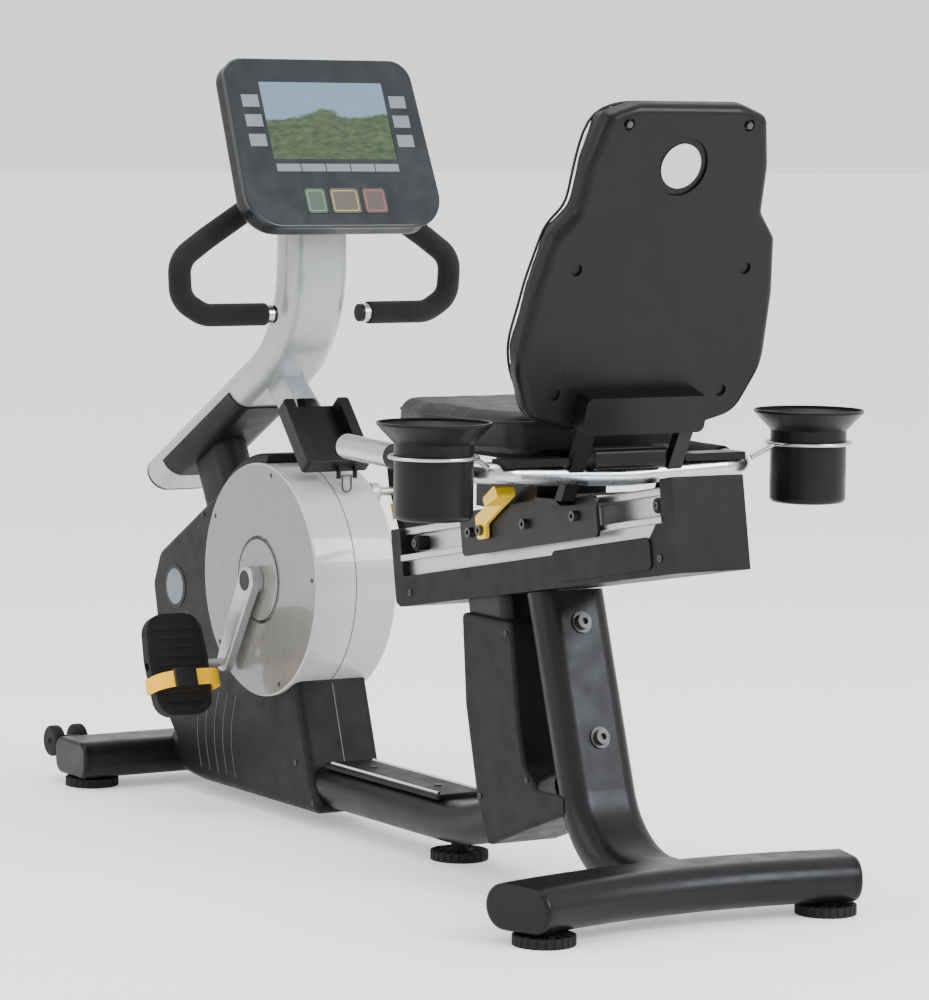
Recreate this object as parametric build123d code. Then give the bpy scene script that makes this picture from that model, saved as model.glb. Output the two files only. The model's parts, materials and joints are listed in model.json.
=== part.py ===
"""Recumbent exercise bike, one function per sub-part.

Frame: +X forward (from the seat towards the console), +Y to the rider's left, +Z up,
origin on the floor under the middle of the bike.  All sizes are in millimetres.
"""
from build123d import *
import os
from functools import partial
from math import acos, asin, atan2, cos, degrees, radians, sin, sqrt

# ---- driving dimensions -------------------------------------------------------------
TUBE_WIDTH = 120.0          # flat-oval frame tube, long side
TUBE_HEIGHT = 66.0          # flat-oval frame tube, short side
TUBE_WALL = 2.5
MAIN_TUBE_Z = 64.0          # centre height of the tube along the floor
MAIN_TUBE_FRONT_X = 690.0
MAIN_TUBE_BEND_X = -247.0   # where the tube starts to rise towards the rear post
MAIN_TUBE_RISE = 20.0       # degrees

CRANK_X = 350.0
CRANK_Z = 383.0
CRANK_LENGTH = 165.0
CRANK_ANGLE = -60.5         # left arm, degrees from +X towards +Z
AXLE_RADIUS = 12.5
ARM_INNER_Y = 84.0
ARM_THICKNESS = 17.0
RUNNING_GAP = 0.05

DRUM_RADIUS = 190.0
DRUM_HALF_WIDTH = 74.0
HUB_RECESS_RADIUS = 72.0
HUB_DISC_RADIUS = 66.5
HUB_DISC_FACE = 76.0
CASING_HALF_WIDTH = 66.0
SHELL_WALL = 3.0
CASING_EDGE = 12.0
CASING_BENDS = [20, 20, 14, 60, 14, 14, 60, 60, 30, 30, 14, 20]
BAND_RADIUS = DRUM_RADIUS + 15  # strip of casing over the top of the drum
BAND_FRONT_ANGLE = 30.0
BAND_REAR_ANGLE = 93.0

PULLEY_RADIUS = 125.0
PULLEY_Y = -40.0
FLYWHEEL_X = 600.0
FLYWHEEL_Z = 200.0
FLYWHEEL_RADIUS = 86.0
FLYWHEEL_WIDTH = 36.0
SMALL_PULLEY_RADIUS = 22.0
SHAFT_RADIUS = 8.5
BELT_WIDTH = 12.0
BELT_THICKNESS = 3.0

MAST_FOOT = (771.0, 523.0)      # X, Z of the lower end of the mast
MAST_CORNER = (315.0, 774.0)
MAST_TOP_Z = 1048.0
MAST_THICKNESS = 62.0
MAST_BEND = 200.0
NECK_DISTANCE = 152.0           # from the mast foot to the neck, along the mast
NECK_LENGTH = 112.0             # long side of the neck tube
NECK_WIDTH = 52.0

POST_TOP = (-438.0, 496.0)
POST_CORNER = (-582.5, 55.0)
POST_BEND = 150.0
POST_THICKNESS = 60.0
REAR_STABILISER_X = -744.0
REAR_STABILISER_SWEEP = 40.0
REAR_STABILISER_HALF = 284.0
REAR_STABILISER_Z = 52.0
FRONT_STABILISER_X = 729.0
FRONT_STABILISER_HALF = 229.0
FRONT_STABILISER_Z = 49.0
FRONT_STABILISER_HEIGHT = 62.0
FRONT_STABILISER_DEPTH = 116.0
END_CAP = 14.0

FOOT_RADIUS = 45.0
FOOT_THICKNESS = 15.0
REAR_FOOT = (-787.0, 240.0)
FRONT_FOOT = (729.0, 187.0)
MIDDLE_FOOT_X = -165.0

WHEEL_RADIUS = 26.3
WHEEL_WIDTH = 20.0
WHEEL_X = 814.0
WHEEL_Y = 195.0
WHEEL_Z = 66.0
WHEEL_SPACING = 43.0

RAIL_ORIGIN = (-460.0, 446.0)   # X, Z of the lower edge of the rail cover at mid length
RAIL_SLOPE = 9.9                # degrees, rising to the rear
RAIL_FRONT = 396.0              # distances along the rail, forward of RAIL_ORIGIN
RAIL_REAR = -386.0
RAIL_HALF_WIDTH = 60.0
RAIL_STEP = 50.0                # height of the cover's side wall
RAIL_FRONT_HEIGHT = 124.0
RAIL_REAR_HEIGHT = 134.0
WINDOW_FRONT = 368.0
WINDOW_REAR = -354.0

CARRIAGE_FRONT = 170.0
CARRIAGE_REAR = -205.0
PLATE_INNER_Y = 66.0
PLATE_THICKNESS = 5.0
LEVER_PIVOT = (97.0, 100.0)     # along the rail and above its lower edge
LATCH_PLACE = 40.0

PEDAL_LENGTH = 170.0
PEDAL_WIDTH = 108.0
PEDAL_THICKNESS = 24.0
PEDAL_Y = 182.0
PEDAL_TILT = 20.0

CONSOLE_CENTRE = (248.5, 1092.5)
CONSOLE_TILT = 24.3             # degrees back from vertical
CONSOLE_WIDTH = 360.0
CONSOLE_HEIGHT = 292.0
CONSOLE_DEPTH = 42.0
BEZEL_DEPTH = 9.0
SCREEN_WIDTH = 226.0
SCREEN_HEIGHT = 134.0
SCREEN_V = 38.0                 # screen centre above the console centre
KEY_V = -101.0
KEY_HEIGHT = 42.0
KEYS = {"key_green": (53.0, 36.0), "key_yellow": (0.0, 52.0), "key_red": (-54.5, 41.0)}

LOOP_X = 298.0
LOOP_TUBE = 30.0
LOOP_FOAM = 37.0
LOOP_POINTS = [(40.0, 1040.0), (203.0, 938.0), (250.0, 905.0), (246.0, 842.0), (205.0, 817.0),
               (84.0, 817.0)]   # Y, Z from the mast outwards and back in
LOOP_BENDS = [40.0, 40.0, 38.0, 50.0]

TRAY_TOP = (308.0, 672.0)
TRAY_BOTTOM = (223.0, 575.0)
WIRE_X = TRAY_BOTTOM[0] + 3     # bar of the wire loop under the tray
WIRE_Z = TRAY_BOTTOM[1] - 15.5
WIRE_RADIUS = 1.5
LOOP_EYES = (-33.0, -3.0)       # Y of the two eyes that hold the bar
TRAY_WIDTH = 121.0
TRAY_DEPTH = 28.0

BACKREST_POINT = (-697.0, 928.0)
BACKREST_RECLINE = 17.4
SHELL_THICKNESS = 24.0
PAD_THICKNESS = 44.0

HANDLE_TUBE = 30.0
HANDLE_FOAM = 38.0
HANDLE_HEIGHT = 640.0
HANDLE_HALF = 222.0
HANDLE_CROSS_X = -597.0
HANDLE_CROSS_Z = 626.0
HANDLE_TIP_X = -177.0

CUP_X = -612.0
CUP_Y = 321.0
CUP_TOP_Z = 714.0
CUP_BOTTOM_Z = 577.0
CUP_RADIUS = 56.0
CUP_RIM_RADIUS = 81.0
CUP_WALL = 2.5
CUP_RING_Z = 665.0


# ---- helpers ------------------------------------------------------------------------
def side_face(points, radius=0.0):
    """Face in the XZ plane from (x, z) points, with every corner rounded by radius."""
    if radius:
        wire = FilletPolyline(*points, radius=radius, close=True)
    else:
        wire = Polyline(*points, close=True)
    return Plane.XZ * make_face(wire)


def across(face, y_low, y_high):
    """Extrude a face of the XZ plane along Y from y_low to y_high."""
    return Pos(0, y_low, 0) * extrude(face, y_high - y_low, dir=(0, 1, 0))


def rod_y(x, z, radius, y_low, y_high):
    """Cylinder along Y."""
    return across(Pos(x, 0, z) * (Plane.XZ * Circle(radius)), y_low, y_high)


def rod(start, end, radius):
    """Cylinder between two points."""
    line = Line(start, end)
    return sweep(Plane(origin=line @ 0, z_dir=line % 0) * Circle(radius), line)


def box(low, high):
    """Box between two opposite corners."""
    size = [high[i] - low[i] for i in range(3)]
    return Pos(*low) * Box(*size, align=(Align.MIN, Align.MIN, Align.MIN))


def flat_oval(width, height, grow=0.0):
    return SlotOverall(width + 2 * grow, height + 2 * grow)


def swept(path, section, x_dir=(0, 1, 0)):
    """Sweep a section along a path, with the section's long side along x_dir."""
    return sweep(Plane(origin=path @ 0, x_dir=x_dir, z_dir=path % 0) * section, path)


def on_rail(shape):
    """Place a shape drawn with X along the rail and Z above its lower edge."""
    return Pos(RAIL_ORIGIN[0], 0, RAIL_ORIGIN[1]) * Rot(0, RAIL_SLOPE, 0) * shape


def on_console(shape):
    """Place a shape drawn with X to the rider's right, Y up the face and Z out of it."""
    tilt = radians(CONSOLE_TILT)
    plane = Plane(origin=(CONSOLE_CENTRE[0], 0, CONSOLE_CENTRE[1]), x_dir=(0, 1, 0),
                  z_dir=(-cos(tilt), 0, sin(tilt)))
    return plane * Rot(0, 0, 180) * shape


def on_backrest(shape):
    """Place a shape drawn with X to the left, Y up the backrest and Z towards the pad."""
    lean = radians(BACKREST_RECLINE)
    plane = Plane(origin=(BACKREST_POINT[0], 0, BACKREST_POINT[1]), x_dir=(0, 1, 0),
                  z_dir=(cos(lean), 0, sin(lean)))
    return plane * shape


def on_tray(shape):
    """Place a shape drawn with X to the rider's right, Y up the tray and Z out of its open face."""
    run = TRAY_TOP[0] - TRAY_BOTTOM[0]
    rise = TRAY_TOP[1] - TRAY_BOTTOM[1]
    middle = ((TRAY_TOP[0] + TRAY_BOTTOM[0]) / 2, 0, (TRAY_TOP[1] + TRAY_BOTTOM[1]) / 2)
    plane = Plane(origin=middle, x_dir=(0, -1, 0), z_dir=(-rise, 0, run))
    return plane * shape


def both_sides(shape):
    """The shape and its mirror image in the centre plane."""
    return [shape, mirror(shape, Plane.XZ)]


# ---- frame tubes --------------------------------------------------------------------
def main_tube_path():
    rise = radians(MAIN_TUBE_RISE)
    reach = 300.0
    end = (MAIN_TUBE_BEND_X - reach * cos(rise), 0, MAIN_TUBE_Z + reach * sin(rise))
    return FilletPolyline((MAIN_TUBE_FRONT_X, 0, MAIN_TUBE_Z), (MAIN_TUBE_BEND_X, 0, MAIN_TUBE_Z),
                          end, radius=400.0)


def main_tube_envelope(grow):
    return swept(main_tube_path(), flat_oval(TUBE_WIDTH, TUBE_HEIGHT, grow))


def upright_envelope(grow):
    """The box-section column that carries the seat rail."""
    foot = (-377.5, 0, 111.0)
    head = (-306.0, 0, 435.0)
    line = Line(foot, head)
    section = RectangleRounded(100.0 + 2 * grow, 118.0 + 2 * grow, 20.0 + grow)
    return swept(line, section)


def post_path():
    return FilletPolyline((POST_TOP[0], 0, POST_TOP[1]), (POST_CORNER[0], 0, POST_CORNER[1]),
                          (REAR_STABILISER_X, 0, POST_CORNER[1]), radius=POST_BEND)


def post_envelope(grow):
    return swept(post_path(), flat_oval(TUBE_WIDTH, POST_THICKNESS, grow))


def above_rail(height):
    """Everything higher than a height above the lower edge of the rail cover."""
    return on_rail(box((-600, -200, height), (600, 200, 400)))


def main_tube():
    outer = main_tube_envelope(0) + upright_envelope(0)
    inner = main_tube_envelope(-TUBE_WALL) + upright_envelope(-TUBE_WALL)
    outer = outer - post_envelope(0.5) - above_rail(8.0)
    return outer - inner - front_stabiliser_envelope(0.5)


def rear_stabiliser_path(extra):
    radius = (REAR_STABILISER_HALF ** 2 + REAR_STABILISER_SWEEP ** 2) / (2 * REAR_STABILISER_SWEEP)
    half_angle = degrees(asin((REAR_STABILISER_HALF - END_CAP + extra) / radius))
    centre = (REAR_STABILISER_X - radius, 0, REAR_STABILISER_Z)
    return Pos(*centre) * CenterArc((0, 0, 0), radius, -half_angle, 2 * half_angle)


def rear_stabiliser_envelope(grow, extra=0.0):
    return swept(rear_stabiliser_path(extra), flat_oval(TUBE_WIDTH, TUBE_HEIGHT, grow),
                 x_dir=(1, 0, 0))


def rear_frame():
    outer = rear_stabiliser_envelope(0) + post_envelope(0)
    inner = rear_stabiliser_envelope(-TUBE_WALL) + post_envelope(-TUBE_WALL)
    return outer - above_rail(0.0) - inner


def front_stabiliser_envelope(grow, half=FRONT_STABILISER_HALF - END_CAP):
    section = RectangleRounded(FRONT_STABILISER_DEPTH + 2 * grow,
                               FRONT_STABILISER_HEIGHT + 2 * grow, 22.0 + grow)
    face = Pos(FRONT_STABILISER_X, 0, FRONT_STABILISER_Z) * (Plane.XZ * section)
    return across(face, -half, half)


def wheel_fork(side):
    """Lug in front of the stabiliser that holds one pair of transport wheels."""
    front_face = FRONT_STABILISER_X + FRONT_STABILISER_DEPTH / 2
    profile = side_face([(front_face - 6, WHEEL_Z - 13), (WHEEL_X, WHEEL_Z - 9),
                         (WHEEL_X + 9, WHEEL_Z), (WHEEL_X, WHEEL_Z + 9),
                         (front_face - 6, WHEEL_Z + 13)], radius=4.0)
    lug = across(profile, side * WHEEL_Y - 10.5, side * WHEEL_Y + 10.5)
    return lug - rod_y(WHEEL_X, WHEEL_Z, 4.0 + RUNNING_GAP, side * WHEEL_Y - 30,
                       side * WHEEL_Y + 30)


def front_stabiliser():
    tube = front_stabiliser_envelope(0) - front_stabiliser_envelope(-TUBE_WALL)
    return tube + (wheel_fork(1) - front_stabiliser_envelope(-1)) \
        + (wheel_fork(-1) - front_stabiliser_envelope(-1))


def rounded_end(cap, radius):
    """Round the edges of the left one of a cap's two large flat faces."""
    flat = cap.faces().filter_by(GeomType.PLANE).sort_by(SortBy.AREA)[-2:]
    return fillet(flat.sort_by(Axis.Y)[-1].edges(), radius)


def end_caps():
    front = across(Pos(FRONT_STABILISER_X, 0, FRONT_STABILISER_Z)
                   * (Plane.XZ * RectangleRounded(FRONT_STABILISER_DEPTH,
                                                  FRONT_STABILISER_HEIGHT, 22.0)),
                   FRONT_STABILISER_HALF - END_CAP, FRONT_STABILISER_HALF)
    rear_left = rear_stabiliser_envelope(0, END_CAP) - rear_stabiliser_envelope(2.0)
    rear_left = rear_left & box((-1000, 0, 0), (0, 400, 200))
    caps = both_sides(rounded_end(front, 6.0)) + both_sides(rounded_end(rear_left, 6.0))
    along = mast_direction()
    foot = Vector(MAST_FOOT[0], 0, MAST_FOOT[1])
    disc = Plane(origin=foot, x_dir=(0, 1, 0), z_dir=-along) * flat_oval(TUBE_WIDTH, MAST_THICKNESS)
    caps.append(fillet(extrude(disc, 8.0).edges().sort_by(Axis.X)[-2:], 3.0))
    tip = LOOP_POINTS[-1]
    plug = rod((LOOP_X, tip[0] - 6.0, tip[1]), (LOOP_X, tip[0], tip[1]), LOOP_TUBE / 2 - 0.5)
    return caps + both_sides(plug)


def foot_disc():
    """Ribbed hand wheel of a levelling foot."""
    disc = Cylinder(FOOT_RADIUS, FOOT_THICKNESS, align=(Align.CENTER, Align.CENTER, Align.MIN))
    disc = fillet(disc.edges(), 1.5)
    notches = [Rot(0, 0, 15 * i) * Pos(FOOT_RADIUS + 1.0, 0, FOOT_THICKNESS / 2)
               * Cylinder(3.0, FOOT_THICKNESS + 2) for i in range(24)]
    pockets = [Rot(0, 0, 30 * i) * Pos(31.0, 0, FOOT_THICKNESS - 2) * Box(18, 9, 6)
               for i in range(12)]
    return disc - notches - pockets


def levelling_feet():
    disc = foot_disc()

    def levelling_foot(x, y, hub_top):
        hub = Cylinder(13.0, hub_top, align=(Align.CENTER, Align.CENTER, Align.MIN))
        return Pos(x, y, 0) * (disc + hub)

    rear_top = REAR_STABILISER_Z - TUBE_HEIGHT / 2
    front_top = FRONT_STABILISER_Z - FRONT_STABILISER_HEIGHT / 2
    feet = [levelling_foot(MIDDLE_FOOT_X, 0, MAIN_TUBE_Z - TUBE_HEIGHT / 2)]
    for side in (1, -1):
        feet.append(levelling_foot(REAR_FOOT[0], side * REAR_FOOT[1], rear_top))
        feet.append(levelling_foot(FRONT_FOOT[0], side * FRONT_FOOT[1], front_top))
    return feet


def transport_wheels(side):
    """Two small wheels pressed on one axle."""
    axle = rod_y(WHEEL_X, WHEEL_Z, 4.0, side * WHEEL_Y - 34, side * WHEEL_Y + 34)
    wheels = []
    for offset in (-WHEEL_SPACING / 2, WHEEL_SPACING / 2):
        middle = side * WHEEL_Y + offset
        wheel = rod_y(WHEEL_X, WHEEL_Z, WHEEL_RADIUS, middle - WHEEL_WIDTH / 2,
                      middle + WHEEL_WIDTH / 2)
        wheels.append(fillet(wheel.edges(), 5.0))
    return wheels[0] + wheels[1] + axle


# ---- column cover and step ----------------------------------------------------------
def upright_cover():
    outline = [(-263, 396), (-276, 259), (-312, 122), (-345, 54), (-456, 95), (-560, 132),
               (-556, 160), (-480, 160), (-445, 190), (-428, 248), (-403, 396)]
    outer = across(side_face(outline, radius=8.0), -62, 62)
    outer = fillet(outer.faces().sort_by(Axis.Y)[-1].edges(), 7.0)
    outer = fillet(outer.faces().sort_by(Axis.Y)[0].edges(), 7.0)
    inner = across(side_face(outline), -58.5, 58.5) & across(
        Plane.XZ * offset(make_face(Polyline(*outline, close=True)), -SHELL_WALL), -58.5, 58.5)
    shell = outer - inner - post_envelope(1.0)
    return shell - main_tube_envelope(0.4) - upright_envelope(0.4)


def step_plate():
    top = MAIN_TUBE_Z + TUBE_HEIGHT / 2
    plate = box((-177, -48, top), (178, 48, top + 7.5))
    plate = fillet(plate.edges().filter_by(Axis.Z), 6.0)
    return fillet(plate.faces().sort_by(Axis.Z)[-1].edges(), 2.5)


# ---- drive --------------------------------------------------------------------------
def mast_direction():
    """Unit vector along the lower mast, from its foot up towards its corner."""
    run = MAST_CORNER[0] - MAST_FOOT[0]
    rise = MAST_CORNER[1] - MAST_FOOT[1]
    return Vector(run, 0, rise).normalized()


def neck_point(below_mast):
    """A point on the neck's axis, a distance below the mast's centre line."""
    along = mast_direction()
    start = Vector(MAST_FOOT[0], 0, MAST_FOOT[1]) + along * NECK_DISTANCE
    return start - Vector(along.Z, 0, -along.X) * below_mast


def neck_solid(top, bottom, grow):
    along = mast_direction()
    line = Line(neck_point(top), neck_point(bottom))
    return swept(line, flat_oval(NECK_LENGTH, NECK_WIDTH, grow), x_dir=along)


def drive_frame():
    tube_top = MAIN_TUBE_Z + TUBE_HEIGHT / 2
    neck = neck_solid(MAST_THICKNESS / 2 - 4, 620.0, 0) - neck_solid(0, 640.0, -TUBE_WALL)
    post = box((CRANK_X - 30, -20, tube_top - 6), (CRANK_X + 30, 20, CRANK_Z - 10))
    post = post - box((CRANK_X - 27, -17, tube_top - 10), (CRANK_X + 27, 17, CRANK_Z - 26))
    shell = rod_y(CRANK_X, CRANK_Z, 27.0, -34, 34)
    plates = []
    for y in (-29.0, 24.0):
        outline = [(FLYWHEEL_X - 55, tube_top), (FLYWHEEL_X + 40, tube_top),
                   (FLYWHEEL_X + 30, 262), (FLYWHEEL_X - 30, 262)]
        plates.append(across(side_face(outline), y, y + 5.0))
    below_tube_centre = box((200, -60, 0), (500, 60, MAIN_TUBE_Z))
    frame = (neck - below_tube_centre) + post + shell + plates
    frame = frame - rod_y(CRANK_X, CRANK_Z, 22.0, -40, 40)
    frame = frame - rod_y(FLYWHEEL_X, FLYWHEEL_Z, SHAFT_RADIUS + RUNNING_GAP, -60, 60)
    return frame - main_tube_envelope(0) - mast_envelope(0)


def crank_bearings():
    rings = []
    for y in (-34.0, 20.0):
        ring = rod_y(CRANK_X, CRANK_Z, 22.0, y, y + 14.0)
        rings.append(ring - rod_y(CRANK_X, CRANK_Z, AXLE_RADIUS + RUNNING_GAP, y - 1, y + 15))
    return rings


def crank_axle():
    reach = ARM_INNER_Y + ARM_THICKNESS - 4
    return rod_y(CRANK_X, CRANK_Z, AXLE_RADIUS, -reach, reach)


def crank_end(side):
    """X and Z of the pedal spindle on one side."""
    angle = radians(CRANK_ANGLE)
    reach = side * CRANK_LENGTH
    return CRANK_X + reach * cos(angle), CRANK_Z + reach * sin(angle)


def crank_arm(side):
    end_x, end_z = crank_end(side)
    inner = side * ARM_INNER_Y
    outer = side * (ARM_INNER_Y + ARM_THICKNESS)
    low, high = min(inner, outer), max(inner, outer)
    body = make_hull((Circle(23.0).edges() + (Pos(CRANK_LENGTH, 0) * Circle(15.0)).edges()))
    body = Rot(0, 0, CRANK_ANGLE if side > 0 else CRANK_ANGLE + 180) * body
    arm = across(Pos(CRANK_X, 0, CRANK_Z) * (Plane.XZ * body), low, high)
    arm = fillet(arm.faces().sort_by(Axis.Y)[-1 if side > 0 else 0].edges(), 5.0)
    boss_inner = side * (HUB_DISC_FACE + 1.0)
    boss = rod_y(CRANK_X, CRANK_Z, 21.0, min(boss_inner, inner), max(boss_inner, inner))
    pocket_floor = side * (ARM_INNER_Y + ARM_THICKNESS - 4)
    pocket = rod_y(CRANK_X, CRANK_Z, 17.0, *sorted((pocket_floor, outer + side)))
    arm = arm + boss - pocket - rod_y(CRANK_X, CRANK_Z, AXLE_RADIUS, -150, 150)
    cap = rod_y(CRANK_X, CRANK_Z, 16.8, min(pocket_floor, side * (abs(outer) - 0.5)),
                max(pocket_floor, side * (abs(outer) - 0.5)))
    spindle = rod_y(end_x, end_z, 7.0, *sorted((outer - side * 10, side * 225)))
    return [arm - spindle, cap, spindle]


def crank_hub_discs():
    discs = []
    for side in (1, -1):
        low = side * (HUB_DISC_FACE - 7)
        high = side * HUB_DISC_FACE
        disc = rod_y(CRANK_X, CRANK_Z, HUB_DISC_RADIUS, min(low, high), max(low, high))
        disc = fillet(disc.faces().sort_by(Axis.Y)[-1 if side > 0 else 0].edges(), 3.0)
        discs.append(disc - rod_y(CRANK_X, CRANK_Z, AXLE_RADIUS, -150, 150))
    return discs


def drive_pulley():
    y_low = PULLEY_Y - BELT_WIDTH / 2 - 1
    y_high = PULLEY_Y + BELT_WIDTH / 2 + 1
    disc = rod_y(CRANK_X, CRANK_Z, PULLEY_RADIUS, y_low + 1, y_high - 1)
    web = rod_y(CRANK_X, CRANK_Z, PULLEY_RADIUS - 12, y_low + 5, y_high - 5)
    windows = [Pos(CRANK_X, 0, CRANK_Z) * Rot(0, 60 * i, 0) * Pos(75, 0, 0)
               * Rot(90, 0, 0) * Cylinder(22.0, 200.0) for i in range(6)]
    rim = disc - rod_y(CRANK_X, CRANK_Z, PULLEY_RADIUS - 12, y_low, y_high)
    hub = rod_y(CRANK_X, CRANK_Z, 30.0, y_low - 3, y_high - 2)
    return rim + (web - windows) + hub - rod_y(CRANK_X, CRANK_Z, AXLE_RADIUS, -150, 150)


def flywheel():
    half = FLYWHEEL_WIDTH / 2
    disc = rod_y(FLYWHEEL_X, FLYWHEEL_Z, FLYWHEEL_RADIUS, -half, half)
    for low, high in ((-half, -6.0), (6.0, half)):
        groove = rod_y(FLYWHEEL_X, FLYWHEEL_Z, FLYWHEEL_RADIUS - 22, low, high)
        disc = disc - (groove - rod_y(FLYWHEEL_X, FLYWHEEL_Z, 24.0, low, high))
    shaft = rod_y(FLYWHEEL_X, FLYWHEEL_Z, SHAFT_RADIUS, PULLEY_Y - 10, 36)
    pulley = rod_y(FLYWHEEL_X, FLYWHEEL_Z, SMALL_PULLEY_RADIUS, PULLEY_Y - BELT_WIDTH / 2 - 1,
                   PULLEY_Y + BELT_WIDTH / 2 + 1)
    return disc + shaft + pulley


def belt_outline(grow):
    """Face inside an open belt around both pulleys."""
    big = PULLEY_RADIUS + grow
    small = SMALL_PULLEY_RADIUS + grow
    run = FLYWHEEL_X - CRANK_X
    rise = FLYWHEEL_Z - CRANK_Z
    distance = sqrt(run ** 2 + rise ** 2)
    heading = atan2(rise, run)
    wrap = acos((big - small) / distance)
    corners = []
    for centre, radius in (((CRANK_X, CRANK_Z), big), ((FLYWHEEL_X, FLYWHEEL_Z), small)):
        for turn in (wrap, -wrap):
            corners.append((centre[0] + radius * cos(heading + turn),
                            centre[1] + radius * sin(heading + turn)))
    quad = make_face(Polyline(corners[0], corners[1], corners[3], corners[2], close=True))
    return quad + Pos(CRANK_X, CRANK_Z) * Circle(big) + Pos(FLYWHEEL_X, FLYWHEEL_Z) * Circle(small)


def drive_belt():
    gap = 0.3
    ring = belt_outline(gap + BELT_THICKNESS) - belt_outline(gap)
    return across(Plane.XZ * ring, PULLEY_Y - BELT_WIDTH / 2, PULLEY_Y + BELT_WIDTH / 2)


def resistance_unit():
    """Magnet caliper straddling the rim of the flywheel."""
    body = box((FLYWHEEL_X - 28, -33, 262), (FLYWHEEL_X + 28, 33, 304))
    slot_half = FLYWHEEL_WIDTH / 2 + 3
    slot = box((FLYWHEEL_X - 40, -slot_half, 250), (FLYWHEEL_X + 40, slot_half, 292))
    return body - slot


# ---- casing -------------------------------------------------------------------------
def casing_solid(grow):
    """Left half of the casing's outer form, or of its inside with a negative grow."""
    outline = FilletPolyline((237, 225), (184, 73), (151, 23), (560, 23), (637, 30), (660, 84),
                             (690, 110), (733, 278), (748, 339), (723, 394), (430, 558.6),
                             (330, 440), radius=CASING_BENDS, close=True)
    half_width = CASING_HALF_WIDTH + grow
    side = make_face(outline)
    if grow:
        side = offset(side, grow)
    body = across(Plane.XZ * side, 0, half_width)
    body = fillet(body.faces().sort_by(Axis.Y)[-1].edges(), CASING_EDGE + grow)
    band = rod_y(CRANK_X, CRANK_Z, BAND_RADIUS + grow, 0, half_width)
    band = fillet(band.faces().sort_by(Axis.Y)[-1].edges(), CASING_EDGE + grow)
    ends = [radians(BAND_FRONT_ANGLE), radians(BAND_REAR_ANGLE + grow / 3)]
    reach = 2 * BAND_RADIUS
    fan = [(CRANK_X, CRANK_Z)] + [(CRANK_X + reach * cos(a), CRANK_Z + reach * sin(a)) for a in ends]
    return body + (band & across(side_face(fan), 0, half_width))


def casing_half():
    shell = casing_solid(0) - casing_solid(-SHELL_WALL)
    shell = shell - rod_y(CRANK_X, CRANK_Z, DRUM_RADIUS + 0.6, -1, 100)
    shell = shell - main_tube_envelope(0.6) - front_stabiliser_envelope(0.6)
    return shell - neck_solid(0, 640.0, 4.5)


def drum_half():
    """Cup-shaped silver cover with a dished recess for the crank's hub disc."""
    outer = rod_y(CRANK_X, CRANK_Z, DRUM_RADIUS, 0, DRUM_HALF_WIDTH)
    outer = fillet(outer.faces().sort_by(Axis.Y)[-1].edges(), 3.5)
    inner = rod_y(CRANK_X, CRANK_Z, DRUM_RADIUS - SHELL_WALL, 0, DRUM_HALF_WIDTH - SHELL_WALL)
    recess = rod_y(CRANK_X, CRANK_Z, HUB_RECESS_RADIUS, 62, 100)
    dish = rod_y(CRANK_X, CRANK_Z, HUB_RECESS_RADIUS + SHELL_WALL, 59, DRUM_HALF_WIDTH - 1)
    cup = outer - inner + dish - recess
    belt_window = box((CRANK_X + 80, 0, CRANK_Z - 175), (CRANK_X + 230, 58, CRANK_Z + 120))
    frame_window = box((CRANK_X - 45, 0, CRANK_Z - 200), (CRANK_X + 120, 30, CRANK_Z - 150))
    cup = cup - (belt_window - rod_y(CRANK_X, CRANK_Z, HUB_RECESS_RADIUS + 20, -10, 80)) - frame_window
    screw_seats = [Pos(CRANK_X, DRUM_HALF_WIDTH, CRANK_Z) * Rot(0, -angle, 0) * Pos(177, 0, 0)
                   * Rot(90, 0, 0) * Cylinder(4.5, 5.0) for angle in drum_screw_angles()]
    cup = cup - screw_seats
    return cup - rod_y(CRANK_X, CRANK_Z, 24.0, 50, 100)


def drum_screw_angles():
    return [102.8 + 72 * i for i in range(5)]


# ---- mast ---------------------------------------------------------------------------
def mast_path():
    return FilletPolyline((MAST_FOOT[0], 0, MAST_FOOT[1]), (MAST_CORNER[0], 0, MAST_CORNER[1]),
                          (MAST_CORNER[0], 0, MAST_TOP_Z), radius=MAST_BEND)


def mast_envelope(grow):
    return swept(mast_path(), flat_oval(TUBE_WIDTH, MAST_THICKNESS, grow))


def branch_envelope(grow):
    """Short rectangular tube from the mast down to the back of the tray."""
    line = Line((432.0, 0, 722.0), (290.0, 0, 618.0))
    return swept(line, RectangleRounded(46 + 2 * grow, 52 + 2 * grow, 8 + grow))


def tray_back_cut():
    return on_tray(box((-300, -300, -TRAY_DEPTH / 2), (300, 300, 300)))


def mast():
    outer = mast_envelope(0) + (branch_envelope(0) - tray_back_cut())
    return outer - mast_envelope(-TUBE_WALL) - (branch_envelope(-TUBE_WALL) - tray_back_cut())


def neck_covers():
    """Front and rear halves of the neck cover, and the saddle under the mast."""
    along = mast_direction()
    tube = neck_solid(MAST_THICKNESS / 2 + 3.5, 190.0, 4.0) - neck_solid(0, 640.0, 0.4)
    tube = tube - mast_envelope(3.4)
    middle = neck_point(60)
    cut_plane = Plane(origin=middle, x_dir=(0, 1, 0), z_dir=along)
    halves = [split(tube, cut_plane, keep=Keep.TOP), split(tube, cut_plane, keep=Keep.BOTTOM)]
    start = Vector(MAST_FOOT[0], 0, MAST_FOOT[1]) + along * 62
    end = Vector(MAST_FOOT[0], 0, MAST_FOOT[1]) + along * 330
    saddle = swept(Line(start, end), flat_oval(TUBE_WIDTH, MAST_THICKNESS, 3.2))
    saddle = saddle - mast_envelope(0.3)
    down = Vector(-along.Z, 0, along.X)
    lower = Plane(origin=start + down * 4, x_dir=(0, 1, 0), z_dir=down)
    saddle = split(saddle, lower, keep=Keep.TOP) - neck_solid(0, 640.0, 0.4)
    return halves + [saddle]


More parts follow.
